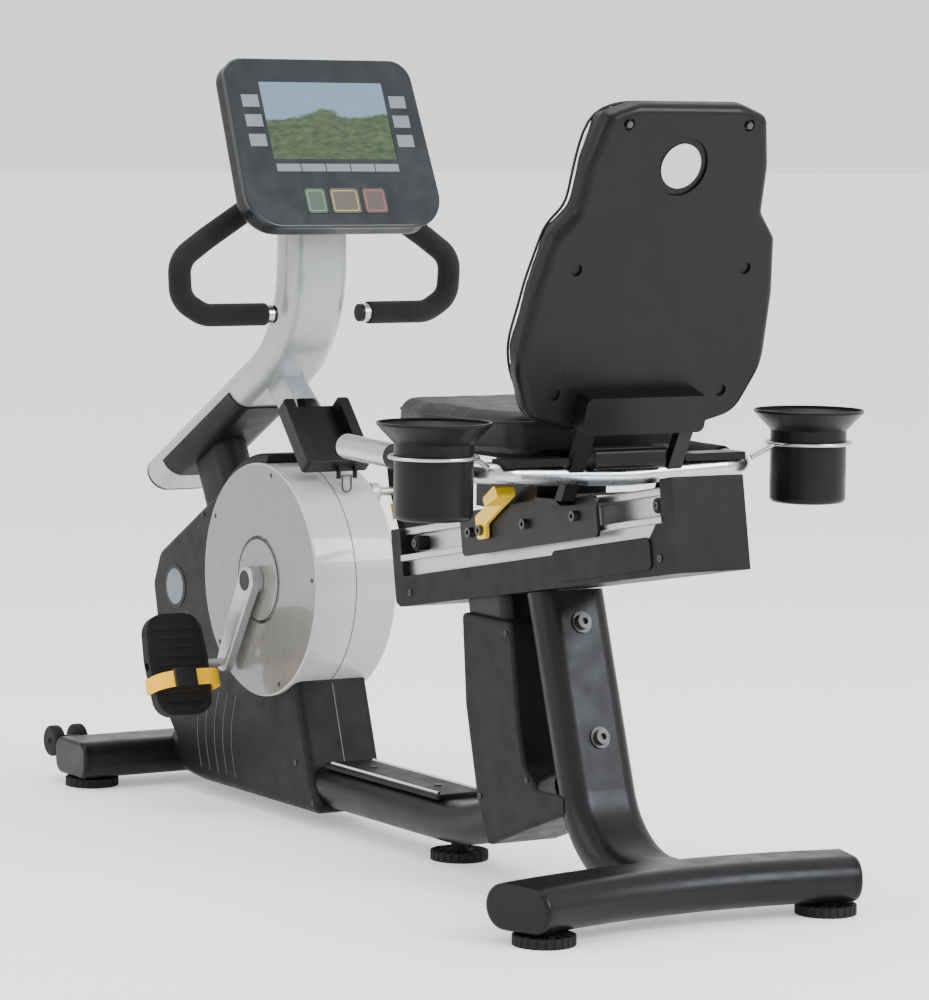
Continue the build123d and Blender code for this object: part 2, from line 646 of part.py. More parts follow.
# ---- tray ---------------------------------------------------------------------------
def tray_length():
    return sqrt((TRAY_TOP[0] - TRAY_BOTTOM[0]) ** 2 + (TRAY_TOP[1] - TRAY_BOTTOM[1]) ** 2)


def accessory_tray():
    length = tray_length()
    body = Box(TRAY_WIDTH, length, TRAY_DEPTH)
    body = fillet(body.edges().filter_by(Axis.Z), 6.0)
    body = fillet(body.faces().sort_by(Axis.Z)[-1].edges(), 2.0)
    pocket = Pos(0, 12, 4) * Box(82, length, TRAY_DEPTH)
    tray = on_tray(body - pocket)
    for y in LOOP_EYES:
        eye = box((WIRE_X - 4, y - 2, WIRE_Z - 4.5), (WIRE_X + 4, y + 2, TRAY_BOTTOM[1] + 3))
        tray = tray + (eye - rod_y(WIRE_X, WIRE_Z, WIRE_RADIUS + RUNNING_GAP, y - 3, y + 3))
    return tray


def tray_loop():
    """Wire loop that hangs from two eyes under the tray."""
    low = WIRE_Z - 26
    points = [(WIRE_X, -10, WIRE_Z), (WIRE_X, -10, low), (WIRE_X, -26, low), (WIRE_X, -26, WIRE_Z)]
    path = FilletPolyline(*points, radius=7.0)
    wire = sweep(Plane(origin=path @ 0, z_dir=path % 0) * Circle(WIRE_RADIUS), path)
    return wire + rod_y(WIRE_X, WIRE_Z, WIRE_RADIUS, LOOP_EYES[0] - 3, LOOP_EYES[1] + 3)


# ---- console ------------------------------------------------------------------------
def console_face():
    top_half = CONSOLE_WIDTH / 2 - 9
    low_half = CONSOLE_WIDTH / 2
    half = CONSOLE_HEIGHT / 2
    wire = FilletPolyline((-top_half, half), (top_half, half), (low_half, -half), (-low_half, -half),
                          radius=[36, 36, 58, 58], close=True)
    return make_face(wire)


def console_back():
    body = extrude(console_face(), -(CONSOLE_DEPTH - BEZEL_DEPTH))
    body = Pos(0, 0, -BEZEL_DEPTH) * body
    body = fillet(body.faces().sort_by(Axis.Z)[0].edges(), 14.0)
    room = extrude(offset(console_face(), -3.0), -(CONSOLE_DEPTH - BEZEL_DEPTH - 3))
    room = Pos(0, 0, -BEZEL_DEPTH) * room
    room = fillet(room.faces().sort_by(Axis.Z)[0].edges(), 11.0)
    return on_console(body - room)


def key_place(name):
    left, width = KEYS[name]
    return Pos(-left, KEY_V, 0), width


def console_bezel():
    plate = Pos(0, 0, -BEZEL_DEPTH) * extrude(console_face(), BEZEL_DEPTH)
    plate = fillet(plate.faces().sort_by(Axis.Z)[-1].edges(), 3.5)
    screen = Pos(0, SCREEN_V, -2) * Box(SCREEN_WIDTH, SCREEN_HEIGHT, 4.01)
    plate = plate - screen - Pos(0, 0, -7.5) * Box(CONSOLE_WIDTH - 60, CONSOLE_HEIGHT - 60, 6.0)
    for name in KEYS:
        place, width = key_place(name)
        plate = plate - place * Pos(0, 0, -3) * Box(width + 1.0, KEY_HEIGHT + 1.0, 12.0)
    return on_console(plate)


def screen_lens():
    glass = Pos(0, SCREEN_V, -2.5) * Box(SCREEN_WIDTH - 0.6, SCREEN_HEIGHT - 0.6, 3.0)
    return on_console(glass)


def console_key(name):
    place, width = key_place(name)
    cap = Pos(0, 0, -1.5) * Box(width, KEY_HEIGHT, 5.0)
    cap = fillet(cap.edges().filter_by(Axis.Z), 4.0)
    return on_console(place * cap)


def membrane_keys():
    pads = []
    for left in (-135.0, 135.0):
        for row in (71.0, 37.0, 3.0):
            pads.append(Pos(left, row, 0.4) * Box(30, 21, 0.8))
    for column in range(5):
        pads.append(Pos(-90 + 45 * column, -44, 0.4) * Box(43, 13, 0.8))
    return [on_console(pad) for pad in pads]


def electronics_boards():
    display = Pos(0, SCREEN_V, -14.0) * Box(SCREEN_WIDTH + 10, SCREEN_HEIGHT + 8, 6.0)
    display = display + Pos(0, -60, -16.0) * Box(180, 70, 1.6) + Pos(0, -20, -16) * Box(60, 60, 1.6)
    brake_board = box((470, 50, 110), (570, 51.6, 170)) + box((490, 51.6, 120), (530, 58, 150))
    return [on_console(display), brake_board]


def console_bracket():
    """Plate on the back of the console and the block that clamps it to the mast."""
    plate = on_console(Pos(0, -30, -CONSOLE_DEPTH - 2.0) * Box(110, 110, 4.0))
    block = box((258, -36, 1000), (300, 36, MAST_TOP_Z + 6))
    block = block + box((280, -36, MAST_TOP_Z), (350, 36, MAST_TOP_Z + 6))
    console_space = on_console(Pos(0, 0, -CONSOLE_DEPTH / 2) * Box(500, 500, CONSOLE_DEPTH))
    return (plate + block) - console_space - mast_envelope(0)


# ---- loop handles -------------------------------------------------------------------
def loop_path(points, bends):
    corners = [(LOOP_X, y, z) for y, z in points]
    return FilletPolyline(*corners, radius=bends)


def loop_tube():
    path = loop_path(LOOP_POINTS, LOOP_BENDS)
    tube = sweep(Plane(origin=path @ 0, z_dir=path % 0) * Circle(LOOP_TUBE / 2), path)
    bore = sweep(Plane(origin=path @ 0, z_dir=path % 0) * Circle(LOOP_TUBE / 2 - 2), path)
    return tube - bore - mast_envelope(0)


def loop_grip():
    points = [(78.0, 1016.2)] + LOOP_POINTS[1:-1] + [(LOOP_POINTS[-1][0] + 9, LOOP_POINTS[-1][1])]
    path = loop_path(points, LOOP_BENDS)
    ring = Circle(LOOP_FOAM / 2) - Circle(LOOP_TUBE / 2)
    return sweep(Plane(origin=path @ 0, z_dir=path % 0) * ring, path)


# ---- seat rail ----------------------------------------------------------------------
def rail_beam():
    """Aluminium extrusion with a recess along each side for the seat carriage."""
    top = Pos(0, 118) * RectangleRounded(100, 12, 3)
    web = Pos(0, 98) * Rectangle(70, 40)
    flange = Pos(0, 78) * RectangleRounded(124, 10, 2)
    base = Pos(0, 42) * Rectangle(96, 68)
    section = top + web + flange + base
    section = section - Pos(0, 42) * Rectangle(90, 60) - Pos(0, 98) * Rectangle(62, 28)
    face = Plane(origin=(WINDOW_REAR, 0, 0), x_dir=(0, 1, 0), z_dir=(1, 0, 0)) * section
    beam = extrude(face, WINDOW_FRONT - WINDOW_REAR)
    return on_rail(beam)


def rail_cover_half():
    """Left half of the plastic cover: side wall, floor and both closed ends."""
    side = [(RAIL_REAR, 0), (RAIL_FRONT - 12, 4), (RAIL_FRONT, 12), (RAIL_FRONT, RAIL_FRONT_HEIGHT),
            (WINDOW_FRONT, RAIL_FRONT_HEIGHT), (WINDOW_FRONT, RAIL_STEP), (WINDOW_REAR + 40, RAIL_STEP),
            (WINDOW_REAR, RAIL_STEP + 40), (WINDOW_REAR, RAIL_REAR_HEIGHT),
            (RAIL_REAR, RAIL_REAR_HEIGHT)]
    outer = across(side_face(side, radius=3.0), 0, RAIL_HALF_WIDTH)
    room = [(WINDOW_REAR, 4), (WINDOW_FRONT, 4), (WINDOW_FRONT, 400), (WINDOW_REAR, 400)]
    outer = outer - across(side_face(room), -1, RAIL_HALF_WIDTH - SHELL_WALL)
    for low, high in ((RAIL_REAR + 3, WINDOW_REAR - 4), (WINDOW_FRONT + 4, RAIL_FRONT - 3)):
        outer = outer - box((low, -1, 4), (high, RAIL_HALF_WIDTH - SHELL_WALL, RAIL_FRONT_HEIGHT - 4))
    badge = box((-321, RAIL_HALF_WIDTH - 0.5, 10), (-63, RAIL_HALF_WIDTH + 2.5, 56))
    badge = fillet(badge.edges().filter_by(Axis.Y), 12.0)
    flange_slot = box((WINDOW_REAR, 0, 72.5), (WINDOW_FRONT, 62.6, 83.5))
    shell = (outer + badge) - flange_slot
    return on_rail(shell) - upright_envelope(0.5)


def rail_bumpers():
    bumpers = []
    for place in (331.0, -338.0):
        for side in (1, -1):
            bumper = rod_y(place, 98, 11.0, min(side * 35, side * 56), max(side * 35, side * 56))
            bumpers.append(on_rail(bumper))
    return bumpers


# ---- seat carriage ------------------------------------------------------------------
def backrest_leg(side, grow=0.0):
    """Flat bar from the carriage up behind the backrest."""
    outline = make_face(Polyline((-590, 592), (-572, 592), (-626, 690), (-641, 742), (-655, 742),
                                 (-641, 690), close=True))
    if grow:
        outline = offset(outline, grow, kind=Kind.INTERSECTION)
    low, high = sorted((side * (72.0 - grow), side * (96.0 + grow)))
    return across(Plane.XZ * outline, low, high)


def seat_frame():
    """Welded carriage: side plates, top plate and the two legs of the backrest."""
    outline = [(CARRIAGE_REAR, 66), (CARRIAGE_FRONT, 66), (CARRIAGE_FRONT, 126), (CARRIAGE_REAR, 126)]
    plate = across(side_face(outline, radius=9.0), PLATE_INNER_Y, PLATE_INNER_Y + PLATE_THICKNESS)
    carriage = plate + mirror(plate, Plane.XZ)
    carriage = carriage + box((-145, -PLATE_INNER_Y, 127), (160, PLATE_INNER_Y, 132))
    for side in (1, -1):
        low, high = sorted((side * (PLATE_INNER_Y - 5), side * (PLATE_INNER_Y + PLATE_THICKNESS)))
        carriage = carriage + box((-145, low, 120), (160, high, 132))
    frame = on_rail(carriage - rod_y(LATCH_PLACE, 98, 5.0 + RUNNING_GAP, -90, -50))
    for side in (1, -1):
        low, high = sorted((side * 66.0, side * 96.0))
        foot = across(side_face([(-588, 586), (-570, 594), (-520, 592), (-522, 578)]), low, high)
        frame = frame + backrest_leg(side) + foot
    return frame - handle_envelope(0.1)


def carriage_glides():
    """Nylon blocks under the beam's upper flange and on its top."""
    glides = []
    for place in (117.5, -149.0):
        for side in (1, -1):
            low, high = sorted((side * 36.0, side * (PLATE_INNER_Y)))
            glides.append(on_rail(box((place - 16, low, 84.5), (place + 16, high, 111.5))))
        glides.append(on_rail(box((place - 14, -48, 124.3), (place + 14, 48, 127.0))))
    return glides


def seat_pan():
    """Dished pan under the cushion with the riser that bolts to the carriage."""
    pan = extrude(Pos(-372, 0, 650) * RectangleRounded(340, 300, 40), 8.0)
    bowl = Pos(-395, 0, 622) * Cylinder(72, 28, align=(Align.CENTER, Align.CENTER, Align.MIN))
    riser = box((-470, -60, 560), (-300, 60, 624))
    carriage_space = on_rail(box((-400, -200, -100), (400, 200, 132)))
    return pan + bowl + (riser - carriage_space)


def seat_cushion():
    outline = FilletPolyline((-566, 168), (-480, 194), (-330, 192), (-196, 160), (-196, -160),
                             (-330, -192), (-480, -194), (-566, -168),
                             radius=[40, 120, 120, 60, 60, 120, 120, 40], close=True)
    cushion = extrude(Pos(0, 0, 658) * make_face(outline), 60.0)
    return fillet(cushion.edges().group_by(Axis.Z)[-1], 18.0)


def backrest_outline(grow):
    """Left half drawn bottom to top, then mirrored."""
    half = [(105, -246), (178, -226), (211, -150), (203, -40), (188, 42), (157, 80), (152, 150),
            (134, 222), (90, 238)]
    left = [(x, y) for x, y in half]
    right = [(-x, y) for x, y in reversed(half)]
    face = make_face(FilletPolyline(*left, *right, radius=[30, 45, 90, 60, 18, 18, 60, 18, 60,
                                                           60, 18, 60, 18, 18, 60, 90, 45, 30],
                                    close=True))
    return offset(face, grow) if grow else face


def backrest_shell():
    plate = extrude(backrest_outline(0), SHELL_THICKNESS)
    plate = fillet(plate.faces().sort_by(Axis.Z)[0].edges(), 13.0)
    cavity = Pos(0, 0, 6) * extrude(backrest_outline(-9), SHELL_THICKNESS)
    plate = plate - cavity
    recess = Pos(0, 150, 0) * Cylinder(43, 7)
    holes = []
    for left, up in ((101, 211), (143, -2), (142, -188)):
        for side in (1, -1):
            holes.append(Pos(side * left, up, 0) * Cylinder(9, 8))
    return on_backrest(plate - recess - holes)


def backrest_pad():
    pad = Pos(0, 4, SHELL_THICKNESS + 0.5) * extrude(backrest_outline(-4), PAD_THICKNESS)
    pad = fillet(pad.faces().sort_by(Axis.Z)[-1].edges(), 16.0)
    return on_backrest(pad)


def seat_shroud():
    """Covers over the cross tube and over the backrest's lower bracket."""
    centre = box((-625, -60, 638), (-568, 60, 668))
    centre = fillet(centre.edges().filter_by(Axis.Y), 8.0)
    bracket = Pos(0, -212, -15) * Box(208, 56, 30)
    bracket = on_backrest(fillet(bracket.edges().filter_by(Axis.Z), 10.0))
    bracket = bracket - backrest_leg(1, 0.3) - backrest_leg(-1, 0.3)
    wings = []
    for side in (1, -1):
        low, high = sorted((side * 100.0, side * 205.0))
        wing = box((-617, low, 645), (-578, high, 656))
        wings.append(wing)
    return [centre - handle_envelope(0.6), bracket] + [wing - handle_envelope(0.6) for wing in wings]


def handle_points():
    rear_corner = (HANDLE_CROSS_X - 2, HANDLE_HALF + 14, HANDLE_HEIGHT - 4)
    return [(HANDLE_TIP_X, HANDLE_HALF - 7, HANDLE_HEIGHT + 5), rear_corner,
            (HANDLE_CROSS_X, 0, HANDLE_CROSS_Z),
            (rear_corner[0], -rear_corner[1], rear_corner[2]),
            (HANDLE_TIP_X, 7 - HANDLE_HALF, HANDLE_HEIGHT + 5)]


def handle_path():
    return FilletPolyline(*handle_points(), radius=[55.0, 500.0, 55.0])


def handle_envelope(grow):
    path = handle_path()
    return sweep(Plane(origin=path @ 0, z_dir=path % 0) * Circle(HANDLE_TUBE / 2 + grow), path)


def handle_tube():
    """Bent handle tube with the two wire rings that hold the cups."""
    tube = handle_envelope(0) - handle_envelope(-2.0)
    rings = []
    for side in (1, -1):
        ring = Pos(CUP_X, side * CUP_Y, CUP_RING_Z) * Torus(CUP_RADIUS + 5.5, 3.0)
        arm = rod((HANDLE_CROSS_X - 4, side * (HANDLE_HALF + 4), HANDLE_HEIGHT + 6),
                  (CUP_X, side * (CUP_Y - CUP_RADIUS - 4.5), CUP_RING_Z), 4.0)
        rings.append(ring + arm)
    tube = tube + rings
    return tube - handle_envelope(-2.0)


def along_handle(start, end, radius_out, radius_in):
    """Sleeve on the left handle between two distances from its tip."""
    first, second = Vector(*handle_points()[0]), Vector(*handle_points()[1])
    direction = (second - first).normalized()
    low, high = first + direction * start, first + direction * end
    ring = Circle(radius_out) - Circle(radius_in)
    return sweep(Plane(origin=low, z_dir=direction) * ring, Line(low, high))


def handle_grips():
    return both_sides(along_handle(160, 345, HANDLE_FOAM / 2, HANDLE_TUBE / 2))


def sensor_sleeves():
    return both_sides(along_handle(6, 158, HANDLE_FOAM / 2 - 0.5, HANDLE_TUBE / 2))


def drink_cup(side):
    """Cup with a flared scalloped collar."""
    body = Cylinder(CUP_RADIUS, CUP_TOP_Z - CUP_BOTTOM_Z - 8,
                    align=(Align.CENTER, Align.CENTER, Align.MIN))
    body = Pos(0, 0, CUP_BOTTOM_Z) * fillet(body.edges().sort_by(Axis.Z)[0], 8.0)
    collar_z = CUP_TOP_Z - 30
    collar = Pos(0, 0, collar_z) * Cone(CUP_RADIUS, CUP_RIM_RADIUS, 26,
                                        align=(Align.CENTER, Align.CENTER, Align.MIN))
    rim = Pos(0, 0, CUP_TOP_Z - 4) * Cylinder(CUP_RIM_RADIUS, 4,
                                              align=(Align.CENTER, Align.CENTER, Align.MIN))
    outer = body + collar + rim
    inner = Pos(0, 0, CUP_BOTTOM_Z + 3) * Cylinder(CUP_RADIUS - CUP_WALL, 200,
                                                   align=(Align.CENTER, Align.CENTER, Align.MIN))
    flare = Pos(0, 0, collar_z) * Cone(CUP_RADIUS - CUP_WALL, CUP_RIM_RADIUS - CUP_WALL, 26,
                                       align=(Align.CENTER, Align.CENTER, Align.MIN))
    mouth = Pos(0, 0, CUP_TOP_Z - 4.5) * Cylinder(CUP_RIM_RADIUS - CUP_WALL - 0.5, 10,
                                                  align=(Align.CENTER, Align.CENTER, Align.MIN))
    return Pos(CUP_X, side * CUP_Y, 0) * (outer - inner - flare - mouth)


# ---- lever and latch ----------------------------------------------------------------


def seat_lever():
    pivot_x, pivot_z = LEVER_PIVOT
    outline = [(pivot_x - 13, pivot_z - 13), (pivot_x + 13, pivot_z - 13),
               (pivot_x + 14, pivot_z + 22), (pivot_x - 90, pivot_z + 60),
               (pivot_x - 96, pivot_z + 44), (pivot_x - 14, pivot_z + 8)]
    plate = across(side_face(outline, radius=6.0), 74.0, 80.0)
    grip = across(side_face([(pivot_x - 96, pivot_z + 42), (pivot_x - 58, pivot_z + 30),
                             (pivot_x - 54, pivot_z + 44), (pivot_x - 90, pivot_z + 60)], radius=5.0),
                  79.0, 106.0)
    return on_rail(plate + grip - rod_y(pivot_x, pivot_z, 5.0 + RUNNING_GAP, 60, 120))


def latch_pin():
    """Plunger that presses on the side of the rail's web, so the seat stops anywhere."""
    pin = rod_y(LATCH_PLACE, 98, 5.0, -63.9, -35.1)
    head = rod_y(LATCH_PLACE, 98, 9.0, -86.0, -72.5)
    stem = rod_y(LATCH_PLACE, 98, 5.0, -73.0, -63.0)
    return on_rail(pin + head + stem)


# ---- pedals -------------------------------------------------------------------------
def on_pedal(side, shape):
    """Place a shape drawn with X across, Y towards the toe and Z out of the tread."""
    end_x, end_z = crank_end(side)
    tilt = radians(PEDAL_TILT)
    plane = Plane(origin=(end_x, side * PEDAL_Y, end_z), x_dir=(0, -1, 0),
                  z_dir=(-cos(tilt), 0, sin(tilt)))
    return plane * shape


def pedal(side):
    half_w = PEDAL_WIDTH / 2
    half_l = PEDAL_LENGTH / 2
    face = make_face(FilletPolyline((-half_w + 6, -half_l), (half_w - 6, -half_l), (half_w, 10),
                                    (half_w - 6, half_l), (-half_w + 6, half_l), (-half_w, 10),
                                    radius=[30, 30, 60, 34, 34, 60], close=True))
    body = extrude(Pos(0, 0, -PEDAL_THICKNESS / 2) * face, PEDAL_THICKNESS)
    body = fillet(body.faces().sort_by(Axis.Z)[0].edges(), 5.0)
    dish = Pos(0, 8, PEDAL_THICKNESS / 2 - 3) * extrude(offset(face, -7.0), 10)
    body = body - dish
    for row in range(9):
        body = body + Pos(0, -60 + 15 * row, PEDAL_THICKNESS / 2 - 4) * Box(PEDAL_WIDTH - 34, 6, 4)
    end_x, end_z = crank_end(side)
    bore = rod_y(end_x, end_z, 7.0 + RUNNING_GAP, side * 180 - 150, side * 180 + 150)
    return on_pedal(side, body) - bore


def pedal_strap(side):
    """Arched strap over the rider's foot, anchored on both flanks of the pedal."""
    half = PEDAL_WIDTH / 2
    height = 62.0
    outer = [(-half - 3.2, -8), (half + 3.2, -8), (half + 3.2, height), (-half - 3.2, height)]
    inner = [(-half - 0.2, -20), (half + 0.2, -20), (half + 0.2, height - 3), (-half - 0.2, height - 3)]
    ring = make_face(FilletPolyline(*outer, radius=[1, 1, 38, 38], close=True)) \
        - make_face(FilletPolyline(*inner, radius=[1, 1, 35, 35], close=True))
    band = extrude(Plane(origin=(0, -20, 0), x_dir=(1, 0, 0), z_dir=(0, -1, 0)) * ring, 26.0)
    buckle = Pos(-20 * side, -33, height + 3.4) * Box(38, 30, 7)
    return on_pedal(side, band + buckle)


# ---- fasteners ----------------------------------------------------------------------
def head_y(x, z, y, side, radius, height, depth):
    """Screw head on a face of constant Y, with a hexagon recess."""
    low, high = sorted((side * y, side * (y + height)))
    head = rod_y(x, z, radius, low, high)
    recess_low, recess_high = sorted((side * (y + height - depth), side * (y + height + 1)))
    hexagon = Pos(x, 0, z) * (Plane.XZ * RegularPolygon(radius * 0.5, 6))
    return head - across(hexagon, recess_low, recess_high)


def frame_fasteners():
    screws = []
    for side in (1, -1):
        for angle in drum_screw_angles():
            x = CRANK_X + 177 * cos(radians(angle))
            z = CRANK_Z + 177 * sin(radians(angle))
            screws.append(head_y(x, z, DRUM_HALF_WIDTH - 2.4, side, 4.0, 2.0, 1.2))
        for x, z in ((236, 98), (178, 40), (704, 250), (560, 470)):
            screws.append(head_y(x, z, CASING_HALF_WIDTH, side, 4.0, 1.6, 1.0))
        for x, z in ((-392, 378), (-455, 168), (-325, 126)):
            screws.append(head_y(x, z, 62.0, side, 4.0, 1.6, 1.0))
        for s, t in ((351, 24), (-341, 24)):
            screws.append(on_rail(head_y(s, t, RAIL_HALF_WIDTH, side, 5.0, 1.6, 1.0)))
        for s in (331.0, -338.0):
            screws.append(on_rail(head_y(s, 98, 56.0, side, 6.0, 2.5, 1.5)))
    lean = atan2(POST_TOP[0] - POST_CORNER[0], POST_TOP[1] - POST_CORNER[1])
    half = POST_THICKNESS / 2
    for z in (394.0, 231.0):
        centre_x = POST_TOP[0] - (POST_TOP[1] - z) * sin(lean) / cos(lean)
        plane = Plane(origin=(centre_x - half * cos(lean), 0, z + half * sin(lean)),
                      x_dir=(0, 1, 0), z_dir=(-cos(lean), 0, sin(lean)))
        bolt = Cylinder(16, 3, align=(Align.CENTER, Align.CENTER, Align.MIN))
        bolt = bolt + Pos(0, 0, 3) * Cylinder(11, 8, align=(Align.CENTER, Align.CENTER, Align.MIN))
        socket = Pos(0, 0, 5) * extrude(RegularPolygon(5.5, 6), 10)
        screws.append(plane * (bolt - socket))
    for x in (-100.0, 100.0):
        top = MAIN_TUBE_Z + TUBE_HEIGHT / 2 + 7.5
        screws.append(Pos(x, 0, top) * Cylinder(5.5, 2.2, align=(Align.CENTER, Align.CENTER, Align.MIN)))
    return screws


def seat_fasteners():
    bolts = []
    plate_face = PLATE_INNER_Y + PLATE_THICKNESS
    for side, front in ((1, 140.0), (-1, 117.5)):
        for s in (-14.0, -149.0, front):
            bolts.append(on_rail(head_y(s, 100, plate_face, side, 7.5, 7.0, 3.0)))
    bolts.append(on_rail(rod_y(LEVER_PIVOT[0], LEVER_PIVOT[1], 5.0, plate_face, 82.0)))
    bolts.append(on_rail(head_y(LEVER_PIVOT[0], LEVER_PIVOT[1], 81.0, 1, 8.0, 5.0, 2.5)))
    for left in (101, -101):
        screw = Pos(left, 211, -0.5) * Cylinder(5.0, 4.0)
        bolts.append(on_backrest(screw))
    return bolts


# ---- assembly -----------------------------------------------------------------------
def makers():
    """Node name to the function that makes it."""
    nodes = {
        "main_tube": main_tube,
        "rear_frame": rear_frame,
        "front_stabiliser": front_stabiliser,
        "end_caps": end_caps,
        "levelling_feet": levelling_feet,
        "upright_cover": upright_cover,
        "step_plate": step_plate,
        "drive_frame": drive_frame,
        "crank_bearings": crank_bearings,
        "drum_cover_left": drum_half,
        "drum_cover_right": lambda: mirror(drum_half(), Plane.XZ),
        "casing_left": casing_half,
        "casing_right": lambda: mirror(casing_half(), Plane.XZ),
        "mast": mast,
        "neck_covers": neck_covers,
        "accessory_tray": accessory_tray,
        "tray_loop": tray_loop,
        "console_bracket": console_bracket,
        "console_back": console_back,
        "console_bezel": console_bezel,
        "screen_lens": screen_lens,
        "electronics_boards": electronics_boards,
        "membrane_keys": membrane_keys,
        "loop_handle_tubes": lambda: both_sides(loop_tube()),
        "loop_handle_grips": lambda: both_sides(loop_grip()),
        "rail_beam": rail_beam,
        "rail_cover_halves": lambda: both_sides(rail_cover_half()),
        "rail_bumpers": rail_bumpers,
        "resistance_unit": resistance_unit,
        "drive_belt": drive_belt,
        "frame_fasteners": frame_fasteners,
        "crank_axle": crank_axle,
        "crank_hub_discs": crank_hub_discs,
        "drive_pulley": drive_pulley,
        "flywheel": flywheel,
        "seat_lever": seat_lever,
        "latch_pin": latch_pin,
        "seat_frame": seat_frame,
        "carriage_glides": carriage_glides,
        "seat_pan": seat_pan,
        "seat_cushion": seat_cushion,
        "backrest_shell": backrest_shell,
        "backrest_pad": backrest_pad,
        "seat_shroud": seat_shroud,
        "handle_tube": handle_tube,
        "handle_grips": handle_grips,
        "sensor_sleeves": sensor_sleeves,
        "drink_cups": lambda: [drink_cup(1), drink_cup(-1)],
        "seat_fasteners": seat_fasteners,
    }
    for name in KEYS:
        nodes[name] = partial(console_key, name)
    for side, word in ((1, "left"), (-1, "right")):
        nodes["crank_arm_" + word] = partial(crank_arm, side)
        nodes["transport_wheels_" + word] = partial(transport_wheels, side)
        nodes["pedal_" + word] = partial(pedal, side)
        nodes["pedal_strap_" + word] = partial(pedal_strap, side)
    return nodes


def solids_of(shape):
    """Every solid of a shape or a list of shapes."""
    if isinstance(shape, (list, tuple)):
        return [solid for item in shape for solid in solids_of(item)]
    return list(shape.solids())


def main():
    os.makedirs("parts", exist_ok=True)
    for name, make in makers().items():
        solids = solids_of(make())
        export_step(Compound(children=solids), os.path.join("parts", name + ".step"))


if __name__ == "__main__":
    main()
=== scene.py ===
import json
import bmesh
import bpy
from math import atan2, cos, pi, radians, sin
from mathutils import Matrix, Vector


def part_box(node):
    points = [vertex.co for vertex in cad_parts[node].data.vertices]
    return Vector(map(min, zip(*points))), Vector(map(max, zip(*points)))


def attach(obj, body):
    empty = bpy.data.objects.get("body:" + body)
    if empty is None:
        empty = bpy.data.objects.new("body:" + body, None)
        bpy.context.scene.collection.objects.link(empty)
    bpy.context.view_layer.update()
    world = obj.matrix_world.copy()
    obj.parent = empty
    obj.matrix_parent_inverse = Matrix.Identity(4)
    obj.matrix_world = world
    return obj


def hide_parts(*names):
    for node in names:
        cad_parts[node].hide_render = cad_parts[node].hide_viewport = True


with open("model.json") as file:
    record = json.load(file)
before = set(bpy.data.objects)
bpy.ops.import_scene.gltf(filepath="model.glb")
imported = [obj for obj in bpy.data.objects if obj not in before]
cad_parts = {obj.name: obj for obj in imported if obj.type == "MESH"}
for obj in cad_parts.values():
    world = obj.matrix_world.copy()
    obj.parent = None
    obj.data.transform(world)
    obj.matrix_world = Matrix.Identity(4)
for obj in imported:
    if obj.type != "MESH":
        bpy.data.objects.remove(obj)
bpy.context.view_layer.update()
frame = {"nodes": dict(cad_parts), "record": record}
NODES = frame["nodes"]
BACKREST_LEAN = radians(17.4)
CONSOLE_TILT = radians(24.3)
PEDAL_TILT = radians(20)
CRANK = (0.350, 0.383)                  # X and Z of the crank's axis
BUCKLE_HEIGHT = 0.0625                  # above the pedal's middle, where the buckle starts
SEAM_STEPS = 120
SLOTS = {entry["node"]: entry["material_slot"] for entry in frame["record"]["subparts"]}


# ---- materials ----------------------------------------------------------------------
def node(tree, kind, **inputs):
    """Add one shader node and set its named input sockets."""
    made = tree.nodes.new(kind)
    for name, value in inputs.items():
        made.inputs[name.replace("_", " ")].default_value = value
    return made


def noise(tree, place, scale, detail=3.0):
    made = node(tree, "ShaderNodeTexNoise", Scale=scale, Detail=detail)
    tree.links.new(place, made.inputs["Vector"])
    return made.outputs["Fac"]


def ranged(tree, value, low, high, start=0.3, end=0.7):
    made = node(tree, "ShaderNodeMapRange", From_Min=start, From_Max=end, To_Min=low, To_Max=high)
    tree.links.new(value, made.inputs["Value"])
    return made.outputs["Result"]


def mixed(tree, factor, first, second):
    """Colour mix; first may be a socket or a colour."""
    made = tree.nodes.new("ShaderNodeMix")
    made.data_type = "RGBA"
    tree.links.new(factor, made.inputs[0])
    if isinstance(first, tuple):
        made.inputs[6].default_value = first
    else:
        tree.links.new(first, made.inputs[6])
    made.inputs[7].default_value = second
    return made.outputs[2]


def shade(colour, amount):
    return tuple(min(1.0, channel * amount) for channel in colour) + (1.0,)


